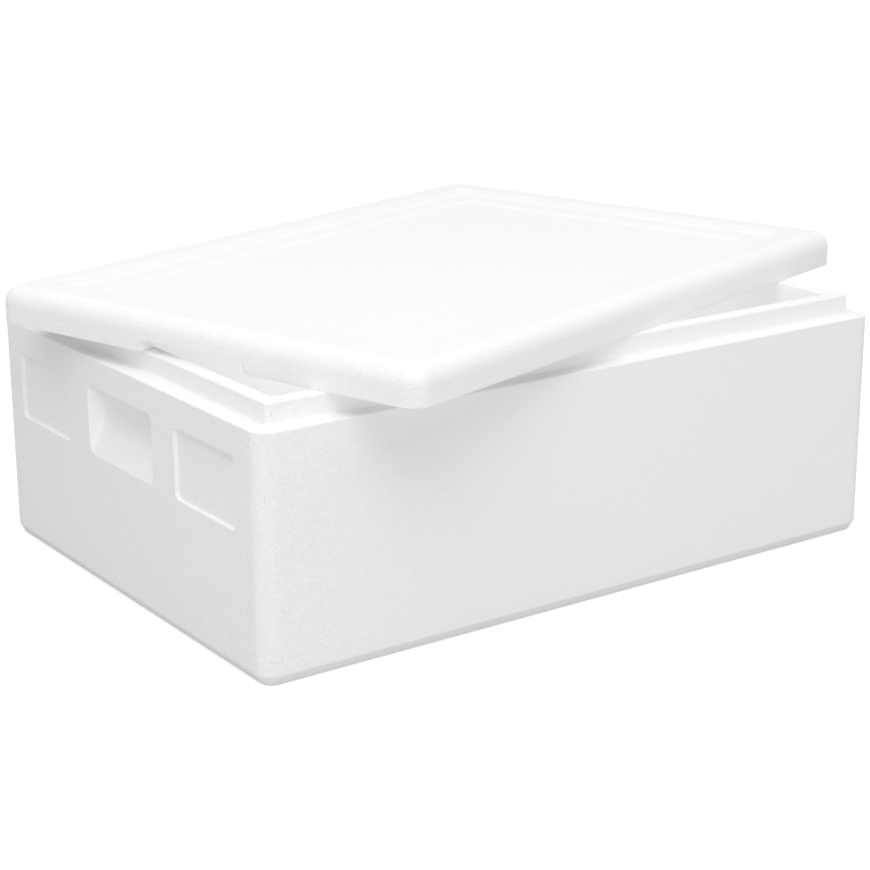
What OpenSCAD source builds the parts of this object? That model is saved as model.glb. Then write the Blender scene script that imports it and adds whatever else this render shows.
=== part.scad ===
// Insulated foam box: a moulded foam body with a raised lip, hand holds and label panels,
// and a loose lid that lies turned on the lip.
// The origin is the centre of the underside, the long sides run along X and Z is up.

/* [Box] */
// Length of the box over its end faces
box_l = 600; // [500:1:700]
// Width of the box over its long faces
box_w = 428; // [360:1:520]
// Height of the ledge that the closed lid's skirt sits on
shoulder_h = 191.5; // [180:0.5:300]
// Radius of the box's upright corners
box_corner_r = 14; // [8:1:25]
// Height of the bevel round the underside
foot_bevel_h = 8.5; // [3:0.5:15]
// Width of the bevel round the underside
foot_bevel_w = 5; // [2:0.5:7]
// Thickness of the floor
floor_t = 28; // [18:1:45]
// Radius of the cavity's upright corners
cavity_corner_r = 5; // [3:0.5:12]
// Height of the cove where the cavity's walls meet its floor
cove_h = 8; // [3:0.5:15]
// Width of that cove
cove_w = 3; // [0.5:0.5:3]

/* [Lip] */
// Width of the ledge outside the lip
ledge_w = 15; // [11:0.5:22]
// Thickness of the raised lip
lip_t = 13.5; // [9:0.5:18]
// Height of the lip above the ledge
lip_h = 16.5; // [10:0.5:18]
// Radius of the lip's outer corners
lip_corner_r = 3; // [1:0.5:8]

/* [Hand holds] */
// Width of the hand hold in each end
grip_w = 106; // [80:1:130]
// Height of the hand hold's opening
grip_h = 57; // [45:1:62]
// Height of the hand hold's lower edge above the underside
grip_z = 111; // [70:1:120]
// Depth of the hand hold at its deepest
grip_depth = 13; // [8:0.5:13.5]
// How far the overhang runs in for each millimetre down
grip_overhang = 1; // [0.8:0.05:1.3]
// How far the ramp runs in for each millimetre up
grip_ramp = 0.5; // [0.45:0.05:0.8]
// Radius of the hand hold's corners
grip_corner_r = 7; // [3:0.5:12]

/* [Label panels] */
// Width of each shallow panel beside the hand hold
panel_w = 90; // [40:1:92]
// Height of each panel
panel_h = 55.5; // [30:0.5:62]
// Depth of each panel
panel_depth = 3; // [1:0.5:5]
// Gap between a hand hold and a panel
panel_gap = 36; // [20:1:38]
// Radius of the panels' corners
panel_corner_r = 5.5; // [2:0.5:10]

/* [Lid] */
// Overhang of the lid past the box's faces when it is closed
lid_overhang = 1.5; // [0:0.5:4]
// Height of the lid's edge, skirt and rim together
lid_h = 30; // [28:0.5:45]
// Radius of the lid's corners seen from above
lid_corner_r = 16; // [15:0.5:25]
// Radius of the rounding along the lid's top edge
top_round_r = 15; // [8:0.5:15]
// Gap between the box's lip and each wall of the lid's groove
lip_play = 2; // [1:0.25:2.5]
// Space left above the lip in the groove when the lid is closed
groove_play = 0.5; // [0.25:0.25:2]
// Radius of the groove's outer corners
groove_corner_r = 5; // [3.5:0.5:10]
// Radius of the corners of the plug inside the groove
plug_corner_r = 3; // [2:0.5:8]

/* [Lid top] */
// Width of the flat-topped rim, from the lid's side to its inner slope
rim_w = 32.5; // [30:0.5:45]
// Drop of the slope inside the rim
rim_drop = 4.5; // [2:0.5:6]
// Width of that slope
rim_slope_w = 4.5; // [1:0.5:8]
// Radius of the slope's upper corners
recess_corner_r = 10; // [9:0.5:20]
// Width of the shelf between the slope and the centre panel
shelf_w = 20; // [8:1:40]
// Depth of the centre panel below the shelf
step_d = 2.5; // [1:0.5:4]
// Radius of the centre panel's corners
step_corner_r = 6; // [2:0.5:15]

/* [Finger notches] */
// Height of the notch in each end of the lid's skirt
notch_h = 9.5; // [5:0.5:14]
// Radius of the notches' upper corners
notch_corner_r = 4; // [1:0.5:4.5]

/* [Lid as it lies] */
// Turn of the lid on the box, anticlockwise seen from above
lid_turn = 17; // [0:0.5:30]
// How far the lid's centre lies along X from the box's centre
lid_x = 14.5; // [-20:0.5:20]
// How far the lid's centre lies along Y from the box's centre
lid_y = 16; // [-20:0.5:20]

/* [Hidden] */
$fn = 96;
// How far a cut runs past the face that it opens
past = 2;
// Top of the lip, which is the top of the box without its lid
lip_top = shoulder_h + lip_h;
// Outside of the lip, and the cavity inside it
lip_out_l = box_l - 2 * ledge_w;
lip_out_w = box_w - 2 * ledge_w;
cavity_l = lip_out_l - 2 * lip_t;
cavity_w = lip_out_w - 2 * lip_t;
// The hand hold's back is a round between its overhang and its ramp
overhang_n = sqrt(1 + pow(grip_overhang, 2));
ramp_n = sqrt(1 + pow(grip_ramp, 2));
grip_round_x = (grip_h - grip_depth * (overhang_n / grip_overhang + ramp_n / grip_ramp))
    / ((1 - overhang_n) / grip_overhang + (1 - ramp_n) / grip_ramp);
grip_round_r = grip_depth - grip_round_x;
grip_round_z = (grip_round_x + grip_round_r * ramp_n) / grip_ramp;
// Centre of each label panel, whose lower edge lines up with the hand hold's
panel_y = grip_w / 2 + panel_gap + panel_w / 2;
panel_z = grip_z + panel_h / 2;
// Outside of the lid, its groove and the plug inside the groove
lid_l = box_l + 2 * lid_overhang;
lid_w = box_w + 2 * lid_overhang;
groove_d = lip_h + groove_play;
groove_l = lip_out_l + 2 * lip_play;
groove_w = lip_out_w + 2 * lip_play;
plug_l = cavity_l - 2 * lip_play;
plug_w = cavity_w - 2 * lip_play;
// The finger notch is as wide as the hand hold below it
notch_w = grip_w;
// Recess inside the rim, and the centre panel inside its shelf
recess_l = lid_l - 2 * rim_w;
recess_w = lid_w - 2 * rim_w;
shelf_z = lid_h - rim_drop;
centre_inset = rim_slope_w + shelf_w;
centre_l = recess_l - 2 * centre_inset;
centre_w = recess_w - 2 * centre_inset;

// A rectangle with true round corners, centred
module rounded_rect(l, w, r) {
    square([l - 2 * r, w], center = true);
    square([l, w - 2 * r], center = true);
    for (sx = [-1, 1], sy = [-1, 1])
        translate([sx * (l / 2 - r), sy * (w / 2 - r)])
            circle(r);
}

// An upright block of that outline
module rounded_block(l, w, h, r) {
    linear_extrude(h)
        rounded_rect(l, w, r);
}

// One straight run of an edge section, its mirror image and the solid between them
module section_run(span, run, r, h) {
    rotate([90, 0, 0])
        linear_extrude(run, center = true) {
            for (side = [0, 1])
                mirror([side, 0])
                    translate([span / 2 - r, 0])
                        children();
            translate([r - span / 2, 0])
                square([span - 2 * r, h]);
        }
}

// A block whose edge has the section given as child, drawn from the corner's centre out to r
module section_block(l, w, h, r) {
    section_run(l, w - 2 * r, r, h)
        children();
    rotate([0, 0, 90])
        section_run(w, l - 2 * r, r, h)
            children();
    for (sx = [-1, 1], sy = [-1, 1])
        translate([sx * (l / 2 - r), sy * (w / 2 - r), 0])
            rotate_extrude()
                children();
}

// Edge section that narrows by bevel_w over the lowest bevel_h
module bevel_section(r, h, bevel_w, bevel_h) {
    polygon([
        [0, 0],
        [r - bevel_w, 0],
        [r, bevel_h],
        [r, h],
        [0, h]
    ]);
}

// Edge section with a quarter round at the top
module round_section(r, h, round_r) {
    square([r, h - round_r]);
    square([r - round_r, h]);
    translate([r - round_r, h - round_r])
        intersection() {
            circle(round_r);
            square(round_r);
        }
}

// Section of a hand hold: x is the depth in from the face, y the height above its lower edge
module grip_section() {
    polygon([
        [-past, 0],
        [0, 0],
        [grip_round_x + grip_round_r / ramp_n,
            grip_round_z - grip_round_r * grip_ramp / ramp_n],
        [grip_round_x + grip_round_r / overhang_n,
            grip_round_z + grip_round_r * grip_overhang / overhang_n],
        [0, grip_h],
        [-past, grip_h]
    ]);
    translate([grip_round_x, grip_round_z])
        circle(grip_round_r);
}

// The space of one hand hold, in the end face at x = -box_l / 2
module grip_cut() {
    translate([-box_l / 2, 0, grip_z])
        intersection() {
            rotate([90, 0, 0])
                linear_extrude(grip_w, center = true)
                    grip_section();
            translate([-past, 0, grip_h / 2])
                rotate([90, 0, 90])
                    rounded_block(grip_w, grip_h, grip_depth + 2 * past, grip_corner_r);
        }
}

// The space of one label panel, at the side of the hand hold that side gives
module panel_cut(side) {
    translate([-box_l / 2 - past, side * panel_y, panel_z])
        rotate([90, 0, 90])
            rounded_block(panel_w, panel_h, panel_depth + past, panel_corner_r);
}

// The space inside the box, with a cove along the floor
module cavity_cut() {
    translate([0, 0, floor_t])
        section_block(cavity_l, cavity_w, lip_top - floor_t + past, cavity_corner_r)
            bevel_section(cavity_corner_r, lip_top - floor_t + past, cove_w, cove_h);
}

module box() {
    color("white")
        difference() {
            union() {
                section_block(box_l, box_w, shoulder_h, box_corner_r)
                    bevel_section(box_corner_r, shoulder_h, foot_bevel_w, foot_bevel_h);
                translate([0, 0, floor_t])
                    rounded_block(lip_out_l, lip_out_w, lip_top - floor_t, lip_corner_r);
            }
            cavity_cut();
            for (turn = [0, 180])
                rotate([0, 0, turn]) {
                    grip_cut();
                    for (side = [-1, 1])
                        panel_cut(side);
                }
        }
}

// The groove round the lid's underside, which the box's lip fits in when it is closed
module groove_cut() {
    difference() {
        translate([0, 0, -past])
            rounded_block(groove_l, groove_w, groove_d + past, groove_corner_r);
        translate([0, 0, -2 * past])
            rounded_block(plug_l, plug_w, groove_d + 3 * past, plug_corner_r);
    }
}

// The finger notch in the skirt's end at x = -lid_l / 2, open to the groove
module notch_cut() {
    translate([-lid_l / 2 - past, 0, 0])
        rotate([90, 0, 90])
            rounded_block(notch_w, 2 * notch_h, (lid_l - groove_l) / 2 + 2 * past, notch_corner_r);
}

// The recess in the lid's top, with its slope, shelf and centre panel
module recess_cut() {
    translate([0, 0, shelf_z])
        section_block(recess_l, recess_w, rim_drop + past, recess_corner_r)
            bevel_section(recess_corner_r, rim_drop + past, rim_slope_w, rim_drop);
    translate([0, 0, shelf_z - step_d])
        rounded_block(centre_l, centre_w, step_d + past, step_corner_r);
}

// The lid about its own centre, with its underside at z = 0
module lid_shape() {
    difference() {
        section_block(lid_l, lid_w, lid_h, lid_corner_r)
            round_section(lid_corner_r, lid_h, top_round_r);
        groove_cut();
        recess_cut();
        for (turn = [0, 180])
            rotate([0, 0, turn])
                notch_cut();
    }
}

module lid() {
    color("whitesmoke")
        translate([lid_x, lid_y, lip_top])
            rotate([0, 0, lid_turn])
                lid_shape();
}

box();
lid();
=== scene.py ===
"""Dresses the insulated foam box: softened mouldings, a fused-bead finish, a pale studio and the camera.

Sizes are in millimetres, as in the part's own source, until a mesh is written in metres.
"""

from __future__ import annotations

import logging
import math
import sys
from dataclasses import dataclass, field
from enum import Enum
from typing import Any, Callable, Iterable, Sequence

import bpy
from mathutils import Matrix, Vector
from mathutils.geometry import tessellate_polygon

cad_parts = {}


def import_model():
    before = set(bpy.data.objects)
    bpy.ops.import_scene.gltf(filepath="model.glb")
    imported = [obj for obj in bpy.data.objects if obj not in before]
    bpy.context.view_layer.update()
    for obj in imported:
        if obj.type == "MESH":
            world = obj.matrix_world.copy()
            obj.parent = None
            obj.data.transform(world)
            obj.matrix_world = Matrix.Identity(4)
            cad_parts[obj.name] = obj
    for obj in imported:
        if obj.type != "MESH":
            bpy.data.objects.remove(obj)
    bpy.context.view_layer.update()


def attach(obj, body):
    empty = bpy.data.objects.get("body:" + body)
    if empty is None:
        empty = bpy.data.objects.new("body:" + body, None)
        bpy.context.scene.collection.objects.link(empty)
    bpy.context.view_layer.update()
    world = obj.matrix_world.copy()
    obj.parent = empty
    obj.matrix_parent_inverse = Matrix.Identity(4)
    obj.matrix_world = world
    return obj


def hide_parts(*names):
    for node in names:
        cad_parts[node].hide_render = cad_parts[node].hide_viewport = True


LOG = logging.getLogger("foam_box")

MM = 0.001
BODY = "root"

# How softened edges are drawn
SOFT_STEPS = 5
ROUND_STEPS = 14
# Radius from which a rounding is large enough to show its facets
LARGE_ROUND = 5.0
CORNER_STEPS = 12
# Distance from a softened edge to the line that keeps the flat beside it flat
GUARD = 0.4
# Distance from a side's corner to its guard line
SIDE_GUARD = 1.0
# Largest share of the room beside a rounding that its guard line takes
GUARD_SHARE = 0.25
# Share of a line that has to be left beside a rounding for it to have a guard line
LEAST_SPARE = 0.001
# Share of a line that one softened end may take when both ends are softened
HALF_ROOM = 0.45
# Least length that a rounding takes up of a line
LEAST_TANGENT = 0.12
# Corner radius of a section's innermost ring
LEAST_CORNER = 1.0
POCKET_CORNER_STEPS = 8
NOTCH_STEPS = 6
NOISE_MIDDLE = 0.5

Place = tuple[float, float]
Spot = tuple[float, float, float]
# Turns a place along, up and into an end face into one in space
ToWorld = Callable[[float, float, float], Spot]


class Side(Enum):
    """The four straight sides of a rounded outline, each by its outward direction."""

    FRONT = (0, -1)
    RIGHT = (1, 0)
    BACK = (0, 1)
    LEFT = (-1, 0)

    @property
    def along(self) -> tuple[int, int]:
        """Direction of travel along the side, anticlockwise round the outline."""
        return -self.value[1], self.value[0]


@dataclass(frozen=True)
class Knee:
    """One turn in a section line.

    across and up are its place; corner_r is the radius of the outline's corners there, and soft the
    radius that the edge is softened with.
    """

    across: float
    up: float
    corner_r: float = 0.0
    soft: float = 0.0

    @property
    def row(self) -> Vector:
        """The knee as one row of the section."""
        return Vector((self.across, self.up, self.corner_r))

    @property
    def flat(self) -> Vector:
        """The knee's place in the plane of the section."""
        return Vector((self.across, self.up))


def softened(knees: Sequence[Knee], steps: int = SOFT_STEPS) -> list[Vector]:
    """Rounds the knees of an open section line.

    Args:
        knees: The line's turns in order. The first and the last stay as they are.
        steps: How many facets each small rounding has.

    Returns:
        The rows of the finished line, with guard rows beside each rounding.
    """
    rows = [knees[0].row]
    for before, knee, after in zip(knees, knees[1:], knees[2:]):
        if knee.soft == 0:
            rows.append(knee.row)
            continue
        back, onward = before.flat - knee.flat, after.flat - knee.flat
        turn = math.pi - back.angle(onward)
        tangent = max(LEAST_TANGENT, knee.soft * math.tan(turn / 2))
        ends, guards = [], []
        for other, leg in ((before, back.length), (after, onward.length)):
            reach = min(tangent, leg * (HALF_ROOM if other.soft else 1.0))
            toward = (other.row - knee.row) / leg
            ends.append(knee.row + toward * reach)
            spare = leg - reach
            guard = knee.row + toward * (reach + min(GUARD, spare * GUARD_SHARE))
            guards.append(guard if spare > leg * LEAST_SPARE else None)
        if guards[0] is not None:
            rows.append(guards[0])
        pull = math.cos(turn / 2)
        facets = steps if knee.soft < LARGE_ROUND else ROUND_STEPS
        for step in range(facets + 1):
            t = step / facets
            shares = ((1 - t) ** 2, 2 * pull * t * (1 - t), t * t)
            mixed = ends[0] * shares[0] + knee.row * shares[1] + ends[1] * shares[2]
            rows.append(mixed / sum(shares))
        if guards[1] is not None:
            rows.append(guards[1])
    rows.append(knees[-1].row)
    return rows


@dataclass(frozen=True)
class NotchFoot:
    """Where one upright line of the lid's skirt stands on the notch's outline."""

    u: float
    z: float
    lean_u: float
    lean_z: float

    @property
    def mirrored(self) -> "NotchFoot":
        """The same place on the notch's other half."""
        return NotchFoot(-self.u, self.z, -self.lean_u, self.lean_z)


@dataclass(frozen=True)
class Stop:
    """One point that every ring of an outline has, on a straight side or on the corner after it.

    u is its place along the side. end is -1 or 1 at the side's guard lines, and swing its angle
    where it is on the corner.
    """

    side: Side
    u: float = 0.0
    end: int = 0
    swing: float | None = None
    foot: NotchFoot | None = None

    def at(self, half_l: float, half_w: float, corner_r: float, u: float | None = None) -> Place:
        """Finds the stop's place on one ring.

        Args:
            half_l: Half the ring's length.
            half_w: Half the ring's width.
            corner_r: Radius of the ring's corners.
            u: A place along the side that stands in for the stop's own.

        Returns:
            The place in the ring's plane.
        """
        (out_x, out_y), (on_x, on_y) = self.side.value, self.side.along
        across = half_l if out_x else half_w
        run = (half_w if out_x else half_l) - corner_r
        if self.swing is not None:
            across += corner_r * (math.cos(self.swing) - 1)
            along = run + corner_r * math.sin(self.swing)
        elif self.end:
            along = self.end * (run - min(SIDE_GUARD, run * GUARD_SHARE))
        else:
            along = self.u if u is None else u
        return out_x * across + on_x * along, out_y * across + on_y * along


def outline_stops(
    extras: dict[Side, Sequence[Stop]] | None = None, corner_steps: int = CORNER_STEPS
) -> list[Stop]:
    """Lists the stops round a rounded outline, anticlockwise.

    Args:
        extras: More stops on a side, in its direction of travel.
        corner_steps: How many facets each corner has.

    Returns:
        The stops in order.
    """
    stops: list[Stop] = []
    for side in Side:
        stops.append(Stop(side, end=-1))
        stops.extend((extras or {}).get(side, ()))
        stops.append(Stop(side, end=1))
        stops.extend(Stop(side, swing=math.radians(90 * k / corner_steps)) for k in range(corner_steps + 1))
    return stops


class Skin:
    """Collects the points and faces of one moulding, and makes the mesh."""

    def __init__(self) -> None:
        """Starts with nothing."""
        self.points: list[Spot] = []
        self.faces: list[tuple[int, ...]] = []

    def ring(self, spots: Iterable[Spot]) -> list[int]:
        """Adds a closed loop of points.

        Args:
            spots: The points in order.

        Returns:
            Their numbers.
        """
        start = len(self.points)
        self.points.extend(spots)
        return list(range(start, len(self.points)))

    def bridge(
        self, first: Sequence[int], second: Sequence[int], skip: Callable[[int], bool] | None = None
    ) -> None:
        """Joins two rings of the same count by a band of faces.

        Args:
            first: The ring that comes first along the section.
            second: The ring that follows it.
            skip: Says which places of the band stay open.
        """
        count = len(first)
        for i in range(count):
            if skip is None or not skip(i):
                j = (i + 1) % count
                self.faces.append((first[i], first[j], second[j], second[i]))

    def plate(self, border: Sequence[int], holes: Sequence[Sequence[int]], outward: Vector) -> None:
        """Fills a flat border around its holes.

        Args:
            border: The numbers of the border's points.
            holes: The same for each hole.
            outward: The direction that the plate faces.
        """
        numbers = list(border) + [n for hole in holes for n in hole]
        loops = [[Vector(self.points[n]) for n in loop] for loop in (border, *holes)]
        for a, b, c in tessellate_polygon(loops):
            corner = [Vector(self.points[numbers[k]]) for k in (a, b, c)]
            facing = (corner[1] - corner[0]).cross(corner[2] - corner[0])
            order = (a, b, c) if facing.dot(outward) > 0 else (a, c, b)
            self.faces.append(tuple(numbers[k] for k in order))

    def to_object(self, name: str, material: bpy.types.Material) -> bpy.types.Object:
        """Writes the mesh, in metres, as a smooth-shaded object.

        Args:
            name: The piece's name.
            material: Its finish.

        Returns:
            The new object, at the origin.
        """
        mesh = bpy.data.meshes.new(name)
        mesh.from_pydata([tuple(MM * v for v in point) for point in self.points], [], self.faces)
        mesh.validate()
        mesh.shade_smooth()
        mesh.materials.append(material)
        piece = bpy.data.objects.new(name, mesh)
        bpy.context.scene.collection.objects.link(piece)
        return piece


def declare(piece: bpy.types.Object, *replaced: str) -> None:
    """Tells the frame what a finished piece rides on, and hides the nodes that it stands for.

    Args:
        piece: The piece.
        replaced: The nodes, where it stands for any.
    """
    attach(piece, BODY)
    if replaced:
        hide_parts(*replaced)
    LOG.info("%s: %d faces", piece.name, len(piece.data.polygons))


@dataclass(frozen=True)
class LabelPanel:
    """A shallow bare panel moulded into an end face."""

    middle_u: float
    middle_z: float
    half_w: float = 45.0
    half_h: float = 27.75
    depth: float = 3.0
    corner_r: float = 5.5
    draft: float = 0.3
    rim_soft: float = 0.9
    foot_soft: float = 1.1
    border: float = 2.5
    floor_inset: float = 3.2

    def carve(self, skin: Skin, to_world: ToWorld) -> list[int]:
        """Adds the panel's walls and floor.

        Args:
            skin: The box's skin.
            to_world: Turns a place along, up and into the end face into one in space.

        Returns:
            The ring that the flat of the end face meets.
        """
        line = [
            Knee(-self.border, 0, self.corner_r + self.border),
            Knee(0, 0, self.corner_r, self.rim_soft),
            Knee(self.draft, self.depth, self.corner_r - self.draft, self.foot_soft),
            Knee(self.floor_inset, self.depth, self.corner_r - self.floor_inset),
        ]
        stops = outline_stops(corner_steps=POCKET_CORNER_STEPS)
        rings = []
        for inset, depth, corner_r in softened(line):
            places = (stop.at(self.half_w - inset, self.half_h - inset, corner_r) for stop in stops)
            rings.append(skin.ring(to_world(self.middle_u + u, self.middle_z + v, depth) for u, v in places))
        for first, second in zip(rings, rings[1:]):
            skin.bridge(first, second)
        skin.faces.append(tuple(rings[-1]))
        return rings[0]


@dataclass(frozen=True)
class HandHold:
    """The scooped hand hold in an end face: an overhang on top, a round back and a ramp below."""

    foot_z: float = 111.0
    half_w: float = 53.0
    half_h: float = 28.5
    depth: float = 13.0
    overhang: float = 1.0
    ramp: float = 0.5
    corner_r: float = 7.0
    draft: float = 0.6
    rim_soft: float = 1.3
    foot_soft: float = 5.0
    border: float = 2.5
    floor_inset: float = 6.2
    rungs: int = 26

    def depth_at(self, height: float) -> float:
        """Finds how deep the scoop is.

        Args:
            height: Height above the scoop's lower edge.

        Returns:
            The depth there.
        """
        tall = 2 * self.half_h
        over_n, ramp_n = math.hypot(1, self.overhang), math.hypot(1, self.ramp)
        middle_x = (tall - self.depth * (over_n / self.overhang + ramp_n / self.ramp)) / (
            (1 - over_n) / self.overhang + (1 - ramp_n) / self.ramp
        )
        radius = self.depth - middle_x
        middle_z = (middle_x + radius * ramp_n) / self.ramp
        low = middle_z - radius * self.ramp / ramp_n
        high = middle_z + radius * self.overhang / over_n
        if height <= low:
            return self.ramp * height
        if height >= high:
            return self.overhang * (tall - height)
        return middle_x + math.sqrt(radius**2 - (height - middle_z) ** 2)

    def _edge(self, stop: Stop, inset: float) -> Place:
        """One stop's place along and up from the middle, on an outline that is inset all round."""
        return stop.at(self.half_w - inset, self.half_h - inset, self.corner_r - inset)

    def _floor(self, stop: Stop, inset: float) -> float:
        """Depth of the scoop at one stop's place on such an outline."""
        return self.depth_at(self.half_h + self._edge(stop, inset)[1])

    def _line(self, stop: Stop) -> list[Spot]:
        """Draws the section that runs in from one stop of the opening's edge.

        Args:
            stop: The stop on the edge.

        Returns:
            Rows of place along and up from the middle, and depth.
        """
        knees = [
            Knee(-self.border, 0),
            Knee(0, 0, soft=self.rim_soft),
            Knee(self.draft, self._floor(stop, self.draft), soft=self.foot_soft),
            Knee(self.floor_inset, self._floor(stop, self.floor_inset)),
        ]
        return [(*self._edge(stop, inset), depth) for inset, depth, _ in softened(knees)]

    def carve(self, skin: Skin, to_world: ToWorld) -> list[int]:
        """Adds the scoop's rounded edge, walls and back.

        Args:
            skin: The box's skin.
            to_world: Turns a place along, up and into the end face into one in space.

        Returns:
            The ring that the flat of the end face meets.
        """
        reach = self.half_h - self.corner_r - 2 * SIDE_GUARD
        heights = [reach * (2 * k / self.rungs - 1) for k in range(self.rungs + 1)]
        extras = {side: [Stop(side, u=u) for u in heights] for side in (Side.RIGHT, Side.LEFT)}
        stops = outline_stops(extras, corner_steps=POCKET_CORNER_STEPS)
        lines = [self._line(stop) for stop in stops]
        rings = [
            skin.ring(to_world(u, self.foot_z + self.half_h + v, depth) for u, v, depth in row)
            for row in zip(*lines)
        ]
        for first, second in zip(rings, rings[1:]):
            skin.bridge(first, second)
        self._close_back(skin, rings[-1])
        return rings[0]

    @staticmethod
    def _close_back(skin: Skin, ring: Sequence[int]) -> None:
        """Fills the back with level rungs, as it curves only from bottom to top.

        Args:
            skin: The box's skin.
            ring: The innermost ring, which starts at the lower edge's guard stop.
        """
        count = len(ring)
        # The ring starts with the lower side's two guard stops, and the upper side's stand opposite
        right = [ring[2 + k] for k in range(count // 2 - 2)]
        left = [ring[(-1 - k) % count] for k in range(count // 2 - 2)]
        half = count // 2
        skin.faces.append((left[0], ring[0], ring[1], right[0], right[1], left[1]))
        for k in range(1, len(right) - 2):
            skin.faces.append((left[k], right[k], right[k + 1], left[k + 1]))
        skin.faces.append((left[-2], right[-2], right[-1], ring[half], ring[half + 1], left[-1]))


@dataclass
class BoxShell:
    """The body of the box, with its ledge, lip, cavity, hand holds and label panels."""

    half_l: float = 300.0
    half_w: float = 214.0
    corner_r: float = 14.0
    shoulder_h: float = 191.5
    lip_top: float = 208.0
    foot_h: float = 8.5
    foot_w: float = 5.0
    ledge: float = 15.0
    lip: float = 13.5
    lip_corner_r: float = 3.0
    cavity_corner_r: float = 5.0
    floor_z: float = 28.0
    cove_h: float = 8.0
    cove_w: float = 3.0
    panel_u: float = 134.0
    panel_z: float = 138.75
    foot_soft: float = 1.6
    bevel_soft: float = 3.0
    ledge_soft: float = 1.3
    lip_foot_soft: float = 2.4
    lip_soft: float = 1.6
    cove_top_soft: float = 6.0
    cove_foot_soft: float = 3.0
    border: float = 6.0
    hold: HandHold = field(default_factory=HandHold)

    def section(self) -> list[Vector]:
        """Draws the wall's section, from the underside out, up, over the lip and down to the floor.

        Returns:
            The section's rows.
        """
        inner = self.ledge + self.lip
        foot_r = self.corner_r - self.foot_w
        cove_r = self.cavity_corner_r - self.cove_w
        return softened(
            [
                Knee(self.foot_w + self.border, 0, foot_r - self.border),
                Knee(self.foot_w, 0, foot_r, self.foot_soft),
                Knee(0, self.foot_h, self.corner_r, self.bevel_soft),
                Knee(0, self.shoulder_h, self.corner_r, self.ledge_soft),
                Knee(self.ledge, self.shoulder_h, self.lip_corner_r, self.lip_foot_soft),
                Knee(self.ledge, self.lip_top, self.lip_corner_r, self.lip_soft),
                Knee(inner, self.lip_top, self.cavity_corner_r, self.lip_soft),
                Knee(inner, self.floor_z + self.cove_h, self.cavity_corner_r, self.cove_top_soft),
                Knee(inner + self.cove_w, self.floor_z, cove_r, self.cove_foot_soft),
                Knee(inner + self.cove_w + self.border, self.floor_z, LEAST_CORNER),
            ]
        )

    def _end_point(self, side: Side) -> ToWorld:
        """Makes the function that places a point along, up and into one end face."""
        out, on = side.value[0], side.along[1]
        return lambda u, z, depth: (out * (self.half_l - depth), on * u, z)

    def build(self, material: bpy.types.Material) -> bpy.types.Object:
        """Makes the body.

        Args:
            material: The foam's finish.

        Returns:
            The piece.
        """
        skin = Skin()
        stops = outline_stops()
        rows = self.section()
        rings = []
        for inset, z, corner_r in rows:
            places = (stop.at(self.half_l - inset, self.half_w - inset, corner_r) for stop in stops)
            rings.append(skin.ring((x, y, z) for x, y in places))
        wall = max(range(len(rows) - 1), key=lambda k: rows[k + 1][1] - rows[k][1])
        gates = {i: stop.side for i, stop in enumerate(stops) if stop.end == -1 and stop.side.value[0]}
        for k, (first, second) in enumerate(zip(rings, rings[1:])):
            skin.bridge(first, second, gates.__contains__ if k == wall else None)
        for i, side in gates.items():
            low, high = rings[wall], rings[wall + 1]
            to_world = self._end_point(side)
            pockets = [LabelPanel(sign * self.panel_u, self.panel_z) for sign in (-1, 1)] + [self.hold]
            holes = [pocket.carve(skin, to_world) for pocket in pockets]
            skin.plate((low[i], low[i + 1], high[i + 1], high[i]), holes, Vector((*side.value, 0)))
        skin.faces.append(tuple(reversed(rings[0])))
        skin.faces.append(tuple(rings[-1]))
        return skin.to_object("box_moulding", material)


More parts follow.
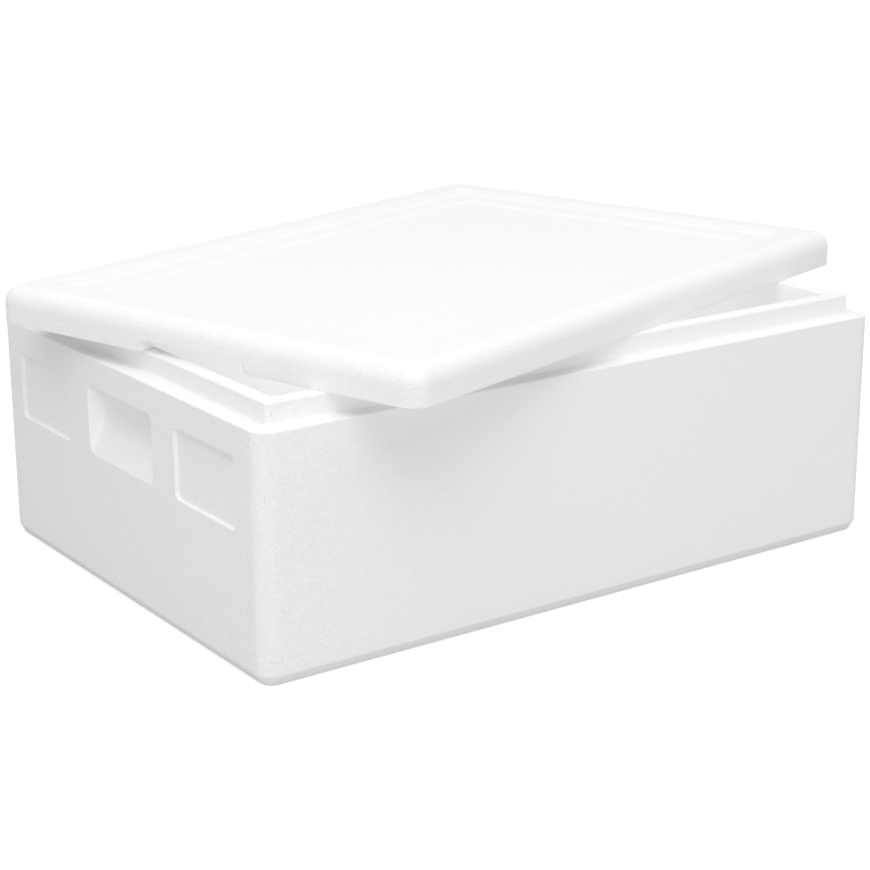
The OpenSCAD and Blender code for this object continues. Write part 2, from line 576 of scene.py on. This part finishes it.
@dataclass
class LidShell:
    """The loose lid, with its rounded edge, rim, stepped recess, groove, plug and finger notches.

    The skirt's upright lines leave the notch's outline squarely up to fan_foot, and stand evenly
    again from fan_top on.
    """

    half_l: float = 301.5
    half_w: float = 215.5
    height: float = 30.0
    corner_r: float = 16.0
    top_round: float = 15.0
    skirt: float = 14.5
    groove_d: float = 17.0
    groove_corner_r: float = 5.0
    plug_inset: float = 32.0
    plug_corner_r: float = 3.0
    rim_w: float = 32.5
    rim_drop: float = 4.5
    slope_w: float = 4.5
    recess_corner_r: float = 10.0
    shelf_w: float = 20.0
    step_d: float = 2.5
    step_slope: float = 2.0
    step_corner_r: float = 6.0
    notch_half_w: float = 53.0
    notch_h: float = 9.5
    notch_r: float = 4.0
    notch_soft: float = 1.5
    notch_foot_run: float = 7.0
    notch_head_run: float = 9.0
    groove_soft: float = 1.5
    skirt_soft: float = 0.7
    slope_soft: float = 3.0
    step_soft: float = 1.4
    border: float = 5.0
    turn: float = 17.0
    middle: Spot = (14.5, 16.0, 208.0)
    fan_foot: float = 1.2
    fan_rows: tuple[float, ...] = (4.0, 9.0)
    fan_top: float = 14.4

    def section(self) -> list[Vector]:
        """Draws the lid's section, from the plug out under the skirt, up and over to the centre panel.

        Returns:
            The section's rows.
        """
        shelf_z = self.height - self.rim_drop
        slope_foot = self.rim_w + self.slope_w
        step = slope_foot + self.shelf_w
        panel_z = shelf_z - self.step_d
        step_foot_r = self.step_corner_r - self.step_slope
        return softened(
            [
                Knee(self.plug_inset + self.border, 0, LEAST_CORNER),
                Knee(self.plug_inset, 0, self.plug_corner_r, self.groove_soft),
                Knee(self.plug_inset, self.groove_d, self.plug_corner_r, self.groove_soft),
                Knee(self.skirt, self.groove_d, self.groove_corner_r, self.groove_soft),
                Knee(self.skirt, 0, self.groove_corner_r, self.skirt_soft),
                Knee(0, 0, self.corner_r, self.skirt_soft),
                *(Knee(0, z, self.corner_r) for z in (*self.fan_rows, self.fan_top)),
                Knee(0, self.height, self.corner_r, self.top_round),
                Knee(self.top_round + GUARD, self.height, self.corner_r - self.top_round - GUARD),
                Knee(self.rim_w, self.height, self.recess_corner_r, self.slope_soft),
                Knee(slope_foot, shelf_z, self.recess_corner_r - self.slope_w, self.slope_soft),
                Knee(step, shelf_z, self.step_corner_r, self.step_soft),
                Knee(step + self.step_slope, panel_z, step_foot_r, self.step_soft),
                Knee(step + self.border, panel_z, LEAST_CORNER),
            ]
        )

    def notch_stops(self, side: Side) -> list[Stop]:
        """Lists the upright lines that follow the finger notch on one end of the skirt.

        Args:
            side: The end.

        Returns:
            Stops in the side's direction of travel, each with its foot on the notch's outline.
        """
        edge = [
            Knee(-self.notch_half_w - self.notch_foot_run, 0),
            Knee(-self.notch_half_w, 0, soft=self.notch_soft),
            Knee(-self.notch_half_w, self.notch_h, soft=self.notch_r),
            Knee(-self.notch_half_w + self.notch_head_run, self.notch_h),
        ]
        line = [Vector(row[:2]) for row in softened(edge, steps=NOTCH_STEPS)]
        feet = []
        for k, here in enumerate(line):
            run = line[min(k + 1, len(line) - 1)] - line[max(k - 1, 0)]
            run.normalize()
            feet.append(NotchFoot(here.x, here.y, -run.y, run.x))
        first, last = line[0].x, line[-1].x
        tops = [first + (last - first) * k / (len(feet) - 1) for k in range(len(feet))]
        rising = [Stop(side, u=top, foot=foot) for top, foot in zip(tops, feet)]
        falling = [Stop(side, u=-stop.u, foot=stop.foot.mirrored) for stop in reversed(rising)]
        return rising + falling

    def _spot(self, row: Vector, stop: Stop) -> Spot:
        """Places one stop of one row, with the skirt's lower part lifted where the notch is.

        Args:
            row: The section's row.
            stop: The stop round the outline.

        Returns:
            The place in the lid's own frame.
        """
        inset, z, corner_r = row
        u = None
        if stop.foot and inset <= self.skirt + GUARD and z < self.fan_top:
            foot = stop.foot
            low = min(z, self.fan_foot)
            u, lifted = foot.u + foot.lean_u * low, foot.z + foot.lean_z * low
            share = max(0.0, (z - self.fan_foot) / (self.fan_top - self.fan_foot))
            u += (stop.u - u) * share
            z = lifted + (self.fan_top - lifted) * share
        x, y = stop.at(self.half_l - inset, self.half_w - inset, corner_r, u)
        return x, y, z

    def _laid(self, spot: Spot) -> Spot:
        """Lays the lid on the box as it is in the photograph.

        Args:
            spot: A place in the lid's own frame.

        Returns:
            The same place in the box's frame.
        """
        x, y, z = spot
        middle_x, middle_y, middle_z = self.middle
        cos, sin = math.cos(math.radians(self.turn)), math.sin(math.radians(self.turn))
        return middle_x + x * cos - y * sin, middle_y + x * sin + y * cos, middle_z + z

    def build(self, material: bpy.types.Material) -> bpy.types.Object:
        """Makes the lid where it lies.

        Args:
            material: The foam's finish.

        Returns:
            The piece.
        """
        skin = Skin()
        stops = outline_stops({side: self.notch_stops(side) for side in (Side.RIGHT, Side.LEFT)})
        rings = [skin.ring(self._laid(self._spot(row, stop)) for stop in stops) for row in self.section()]
        for first, second in zip(rings, rings[1:]):
            skin.bridge(first, second)
        skin.faces.append(tuple(reversed(rings[0])))
        skin.faces.append(tuple(rings[-1]))
        return skin.to_object("lid_moulding", material)


class Wire:
    """A node's output that adds, scales and compares like a number."""

    def __init__(self, maker: "NodeMaker", socket: bpy.types.NodeSocket) -> None:
        """Wraps one output socket."""
        self.maker = maker
        self.socket = socket

    def _maths(self, operation: str, *values: Any) -> "Wire":
        """Adds one Math node over the values."""
        return self.maker.node("ShaderNodeMath", {"operation": operation}, dict(enumerate(values)))[0]

    def __add__(self, other: Any) -> "Wire":
        """Sum."""
        return self._maths("ADD", self, other)

    __radd__ = __add__

    def __sub__(self, other: Any) -> "Wire":
        """Difference."""
        return self._maths("SUBTRACT", self, other)

    def __rsub__(self, other: Any) -> "Wire":
        """Difference from a number."""
        return self._maths("SUBTRACT", other, self)

    def __mul__(self, other: Any) -> "Wire":
        """Product."""
        return self._maths("MULTIPLY", self, other)

    def __pow__(self, other: Any) -> "Wire":
        """Power."""
        return self._maths("POWER", self, other)

    def above(self, edge: float) -> "Wire":
        """One where the value is above the edge, and nought elsewhere."""
        return self._maths("GREATER_THAN", self, edge)

    def limited(self) -> "Wire":
        """The value held between nought and one."""
        return self._maths("MINIMUM", self._maths("MAXIMUM", self, 0.0), 1.0)


class Outputs:
    """The outputs of a new node, by number or name."""

    def __init__(self, maker: "NodeMaker", node: bpy.types.Node) -> None:
        """Wraps one node."""
        self.maker = maker
        self.node = node

    def __getitem__(self, key: int | str) -> Wire:
        """One output as a wire."""
        return Wire(self.maker, NodeMaker.find(self.node.outputs, key))


class NodeMaker:
    """Adds nodes to one tree."""

    def __init__(self, tree: bpy.types.NodeTree) -> None:
        """Takes the tree and empties it."""
        self.tree = tree
        tree.nodes.clear()

    @staticmethod
    def find(sockets: Any, key: int | str) -> bpy.types.NodeSocket:
        """Finds a socket.

        Args:
            sockets: A node's inputs or outputs.
            key: The socket's number, identifier or name.

        Returns:
            The socket.
        """
        if isinstance(key, int):
            return sockets[key]
        return next((s for s in sockets if s.identifier == key), None) or sockets[key]

    def node(
        self, kind: str, settings: dict[str, Any] | None = None, sockets: dict[Any, Any] | None = None
    ) -> Outputs:
        """Adds a node.

        Args:
            kind: The node's type.
            settings: Its settings, which are set first.
            sockets: Values or wires of its input sockets, by number, identifier or name.

        Returns:
            The node's outputs.
        """
        node = self.tree.nodes.new(kind)
        for name, value in (settings or {}).items():
            setattr(node, name, value)
        for key, value in (sockets or {}).items():
            socket = self.find(node.inputs, key)
            if isinstance(value, Wire):
                self.tree.links.new(value.socket, socket)
            else:
                socket.default_value = value
        return Outputs(self, node)


@dataclass(frozen=True)
class BrightPanel:
    """The lid's centre panel, made a little whiter than the rim because the photograph shows it so.

    lift is how far it moves from shade toward white, and blend the width of the change at its edge.
    """

    middle: Spot = (14.5, 16.0, 208.0)
    turn: float = 17.0
    half_l: float = 244.5
    half_w: float = 158.5
    blend: float = 3.0
    lift: float = 0.08

    def share(self, maker: NodeMaker, place: Wire) -> Wire:
        """Finds where the panel is.

        Args:
            maker: The tree's node maker.
            place: The point on the piece.

        Returns:
            One on the panel and nought outside it.
        """
        middle = tuple(MM * v for v in self.middle)
        turned = maker.node(
            "ShaderNodeVectorRotate",
            {"rotation_type": "Z_AXIS"},
            {"Vector": place, "Center": middle, "Angle": -math.radians(self.turn)},
        )[0]
        own = maker.node("ShaderNodeVectorMath", {"operation": "SUBTRACT"}, {0: turned, 1: middle})[0]
        outward = maker.node("ShaderNodeVectorMath", {"operation": "ABSOLUTE"}, {0: own})[0]
        reach = maker.node("ShaderNodeSeparateXYZ", {}, {0: outward})
        along = ((self.half_l * MM - reach["X"]) * (1 / (self.blend * MM))).limited()
        across = ((self.half_w * MM - reach["Y"]) * (1 / (self.blend * MM))).limited()
        return along * across


@dataclass(frozen=True)
class ReliefShares:
    """How much each feature raises the surface, or lowers it at a seam. The grain's share is one."""

    dome: float = 0.3
    bead: float = 0.2
    seam: float = 0.06
    speck: float = 1.8


@dataclass(frozen=True)
class ShadeShares:
    """How far seams and beads move the colour to the shade, grain either way, and specks back toward white
    as painted glints.
    """

    base: float = 0.32
    bead: float = 0.1
    seam: float = 0.06
    grain: float = 1.9
    speck: float = 0.8


@dataclass(frozen=True)
class Soiling:
    """Faint clouds of another colour: how many a metre, where they start, their edge and strength."""

    per_metre: float = 14.0
    start: float = 0.6
    edge: float = 3.0
    strength: float = 0.2


@dataclass(frozen=True)
class BeadFeatures:
    """The features of the beads at a point, as wires."""

    tone: Outputs
    dome: Wire
    seam: Wire
    grain: Wire
    speck: Wire
    rough: Wire


@dataclass(frozen=True)
class FoamFinish:
    """Moulded expanded polystyrene: fused beads with a fine grain and single raised specks, whose whiter
    colour is a painted glint.

    bead is the size of a bead in millimetres, white its colour and shade the colour where beads meet.
    The scales say how many features there are to a bead's width. smooth_x and smooth_y are where the
    grain is weakest, and it grows from least_grain to one between the distances smooth_to and
    coarse_from. That spread follows the picture alone, and says nothing of how the box is moulded.
    """

    name: str
    bead: float = 2.2
    white: tuple[float, float, float] = (0.98, 0.982, 0.985)
    shade: tuple[float, float, float] = (0.81, 0.812, 0.816)
    smudge: tuple[float, float, float] = (0.84, 0.838, 0.832)
    relief: float = 0.3
    bend_scale: float = 0.6
    bend_reach: float = 0.5
    grain_scale: float = 1.3
    speck_scale: float = 1.6
    proud_above: float = 0.8
    seam_edge: float = 9.0
    speck_edge: float = 2.2
    smooth_x: float = 100.0
    smooth_y: float = 50.0
    smooth_to: float = 340.0
    coarse_from: float = 460.0
    least_grain: float = 0.25
    dullness: float = 0.6
    bead_dullness: float = 0.2
    grain_gloss: float = 0.1
    relief_shares: ReliefShares = ReliefShares()
    shade_shares: ShadeShares = ShadeShares()
    soiling: Soiling = Soiling()
    panel: BrightPanel | None = None

    def _rough(self, maker: NodeMaker, place: Wire) -> Wire:
        """Finds how strong the grain is.

        Args:
            maker: The tree's node maker.
            place: The point on the piece.

        Returns:
            The grain's strength there, from least_grain to one.
        """
        spot = maker.node("ShaderNodeSeparateXYZ", {}, {0: place})
        away_x, away_y = spot["X"] - self.smooth_x * MM, spot["Y"] - self.smooth_y * MM
        away = (away_x * away_x + away_y * away_y) ** 0.5
        span = (self.coarse_from - self.smooth_to) * MM
        coarse = ((away - self.smooth_to * MM) * (1 / span)).limited()
        return coarse * (1 - self.least_grain) + self.least_grain

    def _features(self, maker: NodeMaker, place: Wire) -> BeadFeatures:
        """Draws the beads and the grain.

        Args:
            maker: The tree's node maker.
            place: The point on the piece.

        Returns:
            The features at the point.
        """
        pitch = 1 / (self.bead * MM)
        bent = maker.node(
            "ShaderNodeTexNoise", {}, {"Vector": place, "Scale": pitch * self.bend_scale, "Detail": 1.0}
        )["Color"]
        beads_at = maker.node(
            "ShaderNodeVectorMath",
            {"operation": "MULTIPLY_ADD"},
            {0: bent, 1: (self.bend_reach * self.bead * MM,) * 3, 2: place},
        )[0]
        cells = maker.node("ShaderNodeTexVoronoi", {"feature": "F1"}, {"Vector": beads_at, "Scale": pitch})
        seams = maker.node(
            "ShaderNodeTexVoronoi", {"feature": "DISTANCE_TO_EDGE"}, {"Vector": beads_at, "Scale": pitch}
        )["Distance"]
        grain = maker.node(
            "ShaderNodeTexNoise",
            {},
            {"Vector": place, "Scale": pitch * self.grain_scale, "Detail": 2.0, "Roughness": 0.6},
        )["Fac"]
        # Single raised specks: their bump is real relief, and in the colour their whiteness is a painted
        # glint
        specks = maker.node(
            "ShaderNodeTexVoronoi", {"feature": "F1"}, {"Vector": place, "Scale": pitch * self.speck_scale}
        )
        chance = maker.node("ShaderNodeSeparateColor", {}, {0: specks["Color"]})["Red"]
        proud = chance.above(self.proud_above)
        return BeadFeatures(
            tone=maker.node("ShaderNodeSeparateColor", {}, {0: cells["Color"]}),
            dome=1 - cells["Distance"] ** 2,
            seam=(1 - seams * self.seam_edge).limited() ** 2,
            grain=grain,
            speck=(1 - specks["Distance"] * self.speck_edge).limited() * proud,
            rough=self._rough(maker, place),
        )

    def _height(self, beads: BeadFeatures) -> Wire:
        """Finds the height of the surface in shares of the relief.

        Args:
            beads: The features at the point.

        Returns:
            The height.
        """
        shares = self.relief_shares
        raised = beads.dome * shares.dome + beads.tone["Red"] * shares.bead + beads.grain
        return (raised - beads.seam * shares.seam + beads.speck * shares.speck) * beads.rough

    def _colour(self, maker: NodeMaker, place: Wire, beads: BeadFeatures) -> Wire:
        """Finds the foam's colour.

        Args:
            maker: The tree's node maker.
            place: The point on the piece.
            beads: The features there.

        Returns:
            The colour.
        """
        shares = self.shade_shares
        shaded = beads.seam * shares.seam + beads.tone["Green"] * shares.bead + shares.base
        shaded = shaded - (beads.grain - NOISE_MIDDLE) * shares.grain * beads.rough
        # Specks move the colour back toward white: a painted glint on each raised speck
        shaded = shaded - beads.speck * shares.speck * beads.rough
        if self.panel:
            shaded = shaded - self.panel.share(maker, place) * self.panel.lift
        foam = self._mix(maker, shaded.limited(), self.white, self.shade)
        soiling = self.soiling
        cloud = maker.node(
            "ShaderNodeTexNoise",
            {},
            {"Vector": place, "Scale": soiling.per_metre, "Detail": 4.0, "Roughness": 0.55},
        )["Fac"]
        soiled = ((cloud - soiling.start) * soiling.edge).limited() * soiling.strength
        return self._mix(maker, soiled, foam, self.smudge)

    def material(self) -> bpy.types.Material:
        """Builds the finish.

        Returns:
            The material.
        """
        material = bpy.data.materials.new(self.name)
        material.use_nodes = True
        maker = NodeMaker(material.node_tree)
        place = maker.node("ShaderNodeTexCoord")["Object"]
        beads = self._features(maker, place)
        bump = maker.node(
            "ShaderNodeBump",
            {},
            {"Strength": 1.0, "Distance": self.relief * MM, "Height": self._height(beads)},
        )[0]
        dull = self.dullness + beads.tone["Blue"] * self.bead_dullness - beads.grain * self.grain_gloss
        surface = maker.node(
            "ShaderNodeBsdfPrincipled",
            {},
            {
                "Base Color": self._colour(maker, place, beads),
                "Roughness": dull,
                "Normal": bump,
                "IOR": 1.4,
                "Specular IOR Level": 0.35,
            },
        )
        maker.node("ShaderNodeOutputMaterial", {}, {"Surface": surface["BSDF"]})
        return material

    @staticmethod
    def _mix(maker: NodeMaker, share: Wire, first: Any, second: Any) -> Wire:
        """Mixes two colours.

        Args:
            maker: The tree's node maker.
            share: The second colour's share.
            first: The first colour, as a wire or as three numbers.
            second: The second colour, likewise.

        Returns:
            The mixed colour.
        """
        full = [value if isinstance(value, Wire) else (*value, 1.0) for value in (first, second)]
        return maker.node(
            "ShaderNodeMix",
            {"data_type": "RGBA"},
            {"Factor_Float": share, "A_Color": full[0], "B_Color": full[1]},
        )["Result_Color"]


@dataclass(frozen=True)
class RaisedBeads:
    """Single beads that stand a little proud of a moulding, scattered over its faces from a seed.

    Each bead's radius is scaled by a number from smallest to largest. flatness is half its height as
    a share of that, and sunk the depth of its middle as a share of half its height. Faces whose
    normal has an upward part below least_facing have none.
    """

    per_square_metre: float = 1800.0
    radius: float = 0.8
    flatness: float = 0.3
    sunk: float = 0.55
    smallest: float = 0.6
    largest: float = 1.25
    least_facing: float = -0.6
    seed: int = 7

    def _tree(self, material: bpy.types.Material) -> bpy.types.NodeTree:
        """Builds the Geometry Nodes tree that scatters the beads.

        Args:
            material: The beads' finish.

        Returns:
            The tree, with named inputs for its sizes.
        """
        tree = bpy.data.node_groups.new("raised_beads", "GeometryNodeTree")
        sockets = (
            ("Moulding", "INPUT", "NodeSocketGeometry"),
            ("Beads per square metre", "INPUT", "NodeSocketFloat"),
            ("Bead radius", "INPUT", "NodeSocketFloat"),
            ("Flatness", "INPUT", "NodeSocketFloat"),
            ("Sunk share", "INPUT", "NodeSocketFloat"),
            ("Seed", "INPUT", "NodeSocketInt"),
            ("Beads", "OUTPUT", "NodeSocketGeometry"),
        )
        for name, direction, kind in sockets:
            tree.interface.new_socket(name, in_out=direction, socket_type=kind)
        maker = NodeMaker(tree)
        given = maker.node("NodeGroupInput")
        facing = maker.node("ShaderNodeSeparateXYZ", {}, {0: maker.node("GeometryNodeInputNormal")[0]})
        points = maker.node(
            "GeometryNodeDistributePointsOnFaces",
            {"distribute_method": "RANDOM"},
            {
                "Mesh": given["Moulding"],
                "Selection": facing["Z"].above(self.least_facing),
                "Density": given["Beads per square metre"],
                "Seed": given["Seed"],
            },
        )
        ball = maker.node("GeometryNodeMeshIcoSphere", {}, {"Radius": 1.0, "Subdivisions": 2})["Mesh"]
        size = maker.node(
            "FunctionNodeRandomValue",
            {"data_type": "FLOAT"},
            {"Min_001": self.smallest, "Max_001": self.largest, "Seed": given["Seed"]},
        )["Value_001"]
        radius = size * given["Bead radius"]
        scale = maker.node(
            "ShaderNodeCombineXYZ", {}, {0: radius, 1: radius, 2: radius * given["Flatness"]}
        )[0]
        beads = maker.node(
            "GeometryNodeInstanceOnPoints",
            {},
            {"Points": points["Points"], "Instance": ball, "Rotation": points["Rotation"], "Scale": scale},
        )["Instances"]
        depth = radius * given["Flatness"] * given["Sunk share"] * -1.0
        sunk = maker.node(
            "GeometryNodeTranslateInstances",
            {},
            {
                "Instances": beads,
                "Translation": maker.node("ShaderNodeCombineXYZ", {}, {2: depth})[0],
                "Local Space": True,
            },
        )["Instances"]
        solid = maker.node("GeometryNodeRealizeInstances", {}, {"Geometry": sunk})[0]
        smooth = maker.node("GeometryNodeSetShadeSmooth", {}, {"Geometry": solid})[0]
        finished = maker.node("GeometryNodeSetMaterial", {}, {"Geometry": smooth, "Material": material})[0]
        maker.node("NodeGroupOutput", {}, {"Beads": finished})
        return tree

    def build(self, moulding: bpy.types.Object, name: str, material: bpy.types.Material) -> bpy.types.Object:
        """Scatters the beads over a moulding as a piece of their own.

        Args:
            moulding: The piece that carries them.
            name: The new piece's name.
            material: The beads' finish.

        Returns:
            The piece, as a plain mesh.
        """
        carrier = moulding.copy()
        bpy.context.scene.collection.objects.link(carrier)
        tree = self._tree(material)
        modifier = carrier.modifiers.new("beads", "NODES")
        modifier.node_group = tree
        sizes = {
            "Beads per square metre": self.per_square_metre,
            "Bead radius": self.radius * MM,
            "Flatness": self.flatness,
            "Sunk share": self.sunk,
            "Seed": self.seed,
        }
        for item in tree.interface.items_tree:
            if item.item_type == "SOCKET" and item.name in sizes:
                modifier[item.identifier] = sizes[item.name]
        shaped = carrier.evaluated_get(bpy.context.evaluated_depsgraph_get())
        mesh = bpy.data.meshes.new_from_object(shaped)
        mesh.name = name
        piece = bpy.data.objects.new(name, mesh)
        bpy.context.scene.collection.objects.link(piece)
        carrier.modifiers.remove(modifier)
        bpy.data.objects.remove(carrier)
        bpy.data.node_groups.remove(tree)
        return piece


class LampKind(Enum):
    """The kinds of soft lamp in the studio."""

    DOME = "SUN"
    SOFTBOX = "AREA"
    GLOW = "POINT"


@dataclass(frozen=True)
class SoftLight:
    """One soft lamp, aimed at a point inside the box.

    turn and rise give where it hangs, in degrees. size is the width of a softbox or the radius of a
    glow in metres, and the angle of a dome in degrees.
    """

    name: str
    kind: LampKind
    turn: float
    rise: float
    distance: float
    size: float
    power: float

    def add(self, target: Vector) -> None:
        """Hangs the lamp.

        Args:
            target: The point that it aims at.
        """
        data = bpy.data.lights.new(self.name, self.kind.value)
        data.energy = self.power
        if self.kind is LampKind.DOME:
            data.angle = math.radians(self.size)
        elif self.kind is LampKind.SOFTBOX:
            data.shape, data.size = "DISK", self.size
        else:
            data.shadow_soft_size = self.size
        lamp = bpy.data.objects.new(self.name, data)
        lamp.visible_camera = False
        turn, rise = math.radians(self.turn), math.radians(self.rise)
        away = Vector((math.sin(turn) * math.cos(rise), -math.cos(turn) * math.cos(rise), math.sin(rise)))
        lamp.location = target + away * self.distance
        lamp.rotation_euler = away.to_track_quat("Z", "Y").to_euler()
        bpy.context.scene.collection.objects.link(lamp)


@dataclass
class Studio:
    """The plain pale floor, the soft light round it and the camera.

    The two inner glows stand for the light that real foam lets through its walls, since the finish
    lets none through. The gamma is the display's, and was picked with the lamps so that the render's
    greys come near the photograph's. The camera sees floor_white and floor_glow, while bounced light
    sees floor_bounce.
    """

    sky: float = 0.15
    floor_glow: float = 0.6
    floor_white: float = 0.6
    floor_bounce: float = 0.5
    floor_size: float = 80.0
    lamps: tuple[SoftLight, ...] = (
        SoftLight("overhead_dome", LampKind.DOME, -30, 88, 4.0, 100, 2.14),
        SoftLight("key_softbox", LampKind.SOFTBOX, -40, 55, 2.0, 1.2, 10.6),
        SoftLight("low_left_softbox", LampKind.SOFTBOX, -40, 3, 2.4, 0.7, 9.4),
        SoftLight("low_right_softbox", LampKind.SOFTBOX, 50, 4, 2.4, 0.7, 3.6),
        SoftLight("inner_glow", LampKind.GLOW, 0, 0, 0.0, 0.06, 0.33),
        SoftLight("inner_glow_right", LampKind.GLOW, 90, 0, 0.16, 0.05, 0.025),
    )
    target: Vector = field(default_factory=lambda: Vector((0.0, 0.0, 0.15)))
    eye: Spot = (-0.986, -1.406, 0.6078)
    aim: Spot = (73.0821466, 0.198383, -35.0563253)
    lens: float = 86.288
    sensor: float = 36.0
    farthest: float = 200.0
    bounces: int = 6
    gamma: float = 1.6

    def _floor(self) -> None:
        """Lays the floor."""
        half = self.floor_size / 2
        mesh = bpy.data.meshes.new("floor")
        corners = [(-half, -half, 0), (half, -half, 0), (half, half, 0), (-half, half, 0)]
        mesh.from_pydata(corners, [], [(0, 1, 2, 3)])
        material = bpy.data.materials.new("floor_paper")
        material.use_nodes = True
        maker = NodeMaker(material.node_tree)
        seen = maker.node(
            "ShaderNodeBsdfPrincipled",
            {},
            {
                "Base Color": (self.floor_white,) * 3 + (1.0,),
                "Roughness": 0.9,
                "Specular IOR Level": 0.0,
                "Emission Color": (1.0, 1.0, 1.0, 1.0),
                "Emission Strength": self.floor_glow,
            },
        )["BSDF"]
        bounced = maker.node("ShaderNodeBsdfDiffuse", {}, {"Color": (self.floor_bounce,) * 3 + (1.0,)})[0]
        direct = maker.node("ShaderNodeLightPath")["Is Camera Ray"]
        both = maker.node("ShaderNodeMixShader", {}, {0: direct, 1: bounced, 2: seen})[0]
        maker.node("ShaderNodeOutputMaterial", {}, {"Surface": both})
        mesh.materials.append(material)
        floor = bpy.data.objects.new("floor", mesh)
        bpy.context.scene.collection.objects.link(floor)

    def _sky(self) -> None:
        """Sets the even light from all round."""
        world = bpy.data.worlds.new("studio")
        world.use_nodes = True
        maker = NodeMaker(world.node_tree)
        light = maker.node("ShaderNodeBackground", {}, {"Color": (1.0, 1.0, 1.0, 1.0), "Strength": self.sky})
        maker.node("ShaderNodeOutputWorld", {}, {"Surface": light[0]})
        bpy.context.scene.world = world

    def _camera(self) -> None:
        """Sets the camera at the photograph's angle."""
        data = bpy.data.cameras.new("camera")
        data.sensor_width, data.lens, data.clip_end = self.sensor, self.lens, self.farthest
        camera = bpy.data.objects.new("camera", data)
        camera.location = self.eye
        camera.rotation_euler = tuple(math.radians(angle) for angle in self.aim)
        bpy.context.scene.collection.objects.link(camera)
        bpy.context.scene.camera = camera

    def build(self) -> None:
        """Sets up the whole studio."""
        self._floor()
        self._sky()
        self._camera()
        for lamp in self.lamps:
            lamp.add(self.target)
        bpy.context.scene.cycles.diffuse_bounces = self.bounces
        view = bpy.context.scene.view_settings
        view.view_transform = "Standard"
        view.look = "None"
        view.exposure = 0.0
        view.gamma = self.gamma


def main() -> None:
    """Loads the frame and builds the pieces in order."""
    logging.basicConfig(level=logging.INFO, format="%(name)s: %(message)s", stream=sys.stdout)
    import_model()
    Studio().build()
    box = BoxShell().build(FoamFinish("box_foam").material())
    declare(box, "box")
    lid_finish = FoamFinish("lid_foam", bead=2.1, smooth_to=200.0, coarse_from=500.0, panel=BrightPanel())
    lid = LidShell().build(lid_finish.material())
    declare(lid, "lid")
    skin = FoamFinish("raised_foam").material()
    declare(RaisedBeads(seed=7).build(box, "box_raised_beads", skin))
    declare(RaisedBeads(seed=11).build(lid, "lid_raised_beads", skin))


if __name__ == "__main__":
    main()
